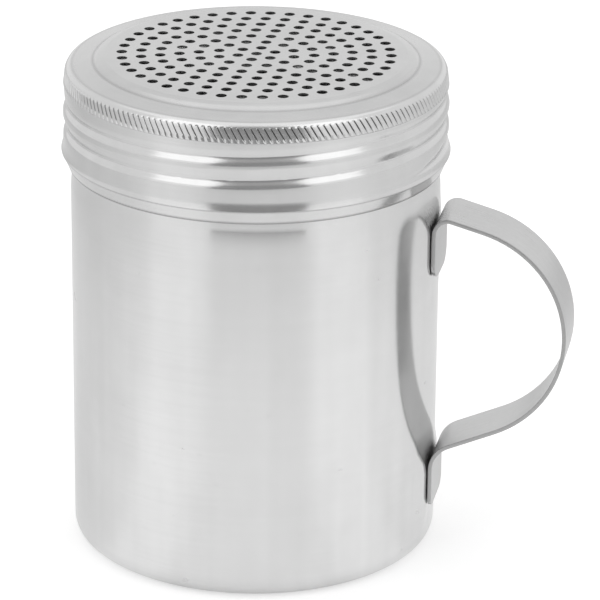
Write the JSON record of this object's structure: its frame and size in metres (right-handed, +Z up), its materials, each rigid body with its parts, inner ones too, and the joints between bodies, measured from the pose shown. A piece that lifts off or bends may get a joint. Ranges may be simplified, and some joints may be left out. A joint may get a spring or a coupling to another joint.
{
  "type": "sugar dredger",
  "caption": "Round stainless-steel sugar shaker: drawn cup, screw-on lid with a perforated sieve top, and a bent strip handle at one side.",
  "frame": {"origin": "middle of the cup's flat base, on the cup's axis", "axes": "+Z up along the cup's axis, out of the sieve top; +X towards the handle"},
  "size_m": [0.0931, 0.0702, 0.092],
  "materials": {
    "cup_steel": "satin polished stainless steel",
    "lid_steel": "satin polished stainless steel",
    "handle_steel": "satin stainless strip",
    "weld_steel": "bare weld"
  },
  "bodies": {
    "cup": {"cup": "cup_steel", "handle": "handle_steel", "spot_welds": "weld_steel"},
    "lid_hem": {"lid_hem": "lid_steel"},
    "lid": {"lid": "lid_steel"}
  },
  "joints": [
    {"name": "lid_lift", "type": "slide", "parent": "cup", "child": "lid_hem", "axis": [0, 0, 1], "range_m": [0, 0.02125]},
    {"name": "lid_turn", "type": "hinge", "parent": "lid_hem", "child": "lid", "pos_m": [0, 0, 0.075], "axis": [0, 0, 1], "range_deg": [0, 1800]}
  ],
  "couplings": [
    {"joint": "lid_lift", "follows": "lid_turn", "m_per_rad": 0.00067641}
  ]
}
